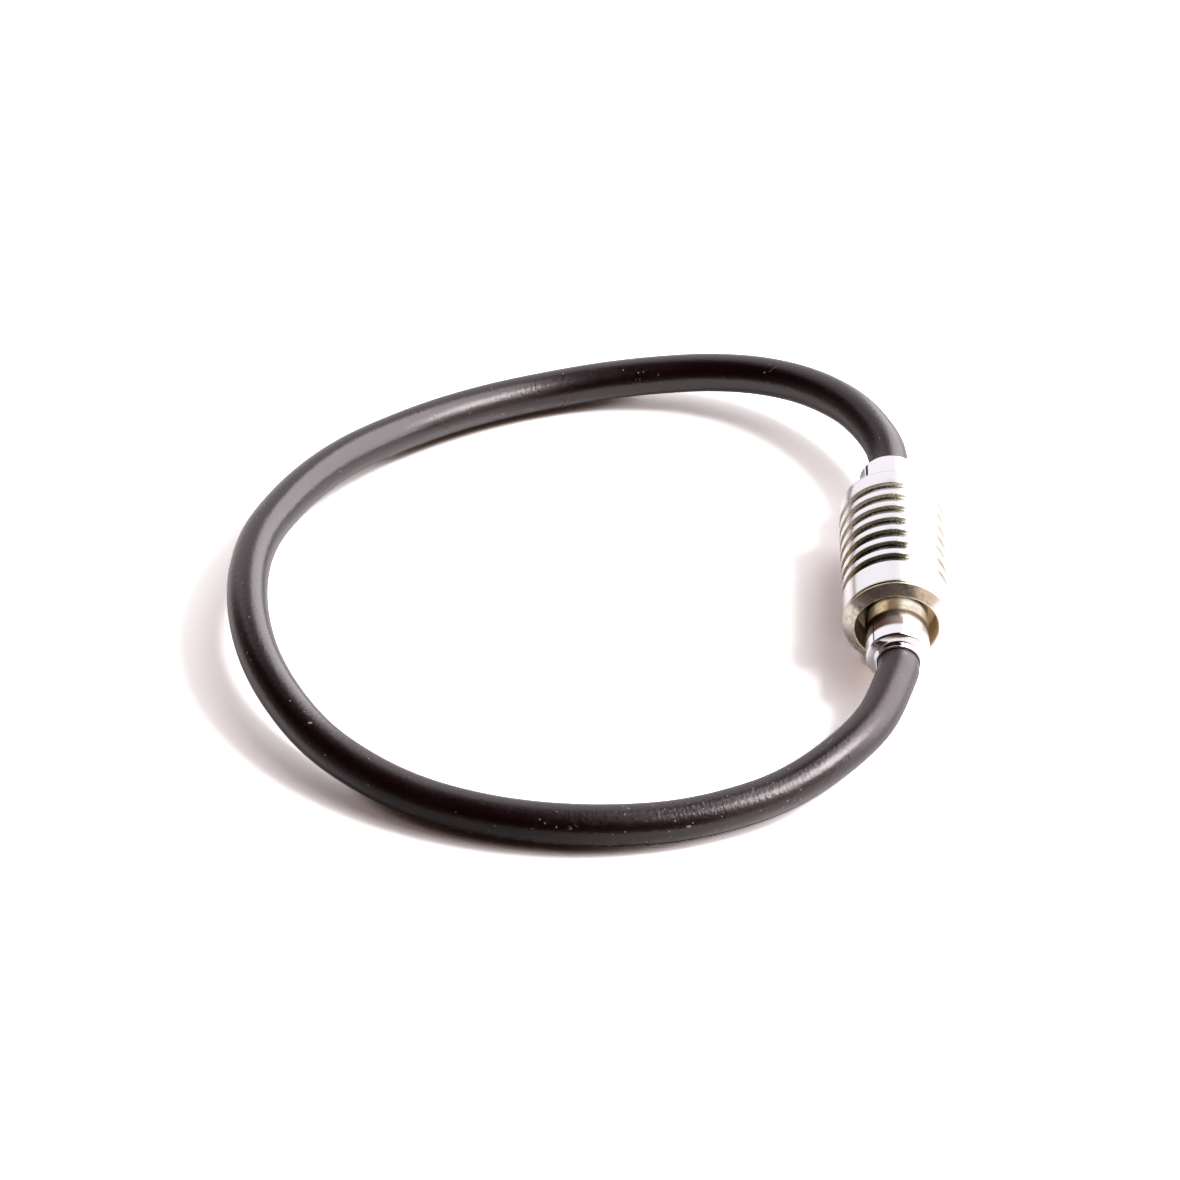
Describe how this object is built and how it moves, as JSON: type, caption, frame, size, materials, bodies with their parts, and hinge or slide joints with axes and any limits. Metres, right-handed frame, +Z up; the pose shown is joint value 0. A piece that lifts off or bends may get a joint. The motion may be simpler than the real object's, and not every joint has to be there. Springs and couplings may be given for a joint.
{
  "type": "cord bracelet with barrel clasp",
  "caption": "Bracelet loop of solid black rubber cord closed by a ribbed steel barrel clasp; one cord ferrule pulls out of the clasp and the barrel turns on the other.",
  "frame": {"origin": "on the surface that the bracelet lies on, under the middle of the clasp", "axes": "+Z up; Y along the clasp's axis with the plug ferrule at -Y; the cord's loop lies towards -X"},
  "size_m": [0.0708, 0.0707, 0.0106],
  "materials": {
    "barrel_steel": "polished",
    "bush_steel": "polished",
    "ferrule_steel": "polished",
    "spring_steel": "satin",
    "cord_rubber": "matte"
  },
  "bodies": {
    "loop": {"cord": "cord_rubber", "swivel_ferrule": "ferrule_steel", "retaining_ring": "spring_steel"},
    "barrel": {"barrel": "barrel_steel", "latch_bush": "bush_steel", "swivel_bush": "bush_steel", "latch_ring": "spring_steel"},
    "plug": {"plug_ferrule": "ferrule_steel"}
  },
  "joints": [
    {"name": "barrel_spin", "type": "hinge", "parent": "loop", "child": "barrel", "pos_m": [0, 0, 0.0053], "axis": [0, 1, 0], "continuous": true},
    {"name": "plug_pull", "type": "slide", "parent": "loop", "child": "plug", "axis": [0, -1, 0], "range_m": [0, 0.01], "deforming": ["cord", "latch_ring"]}
  ]
}
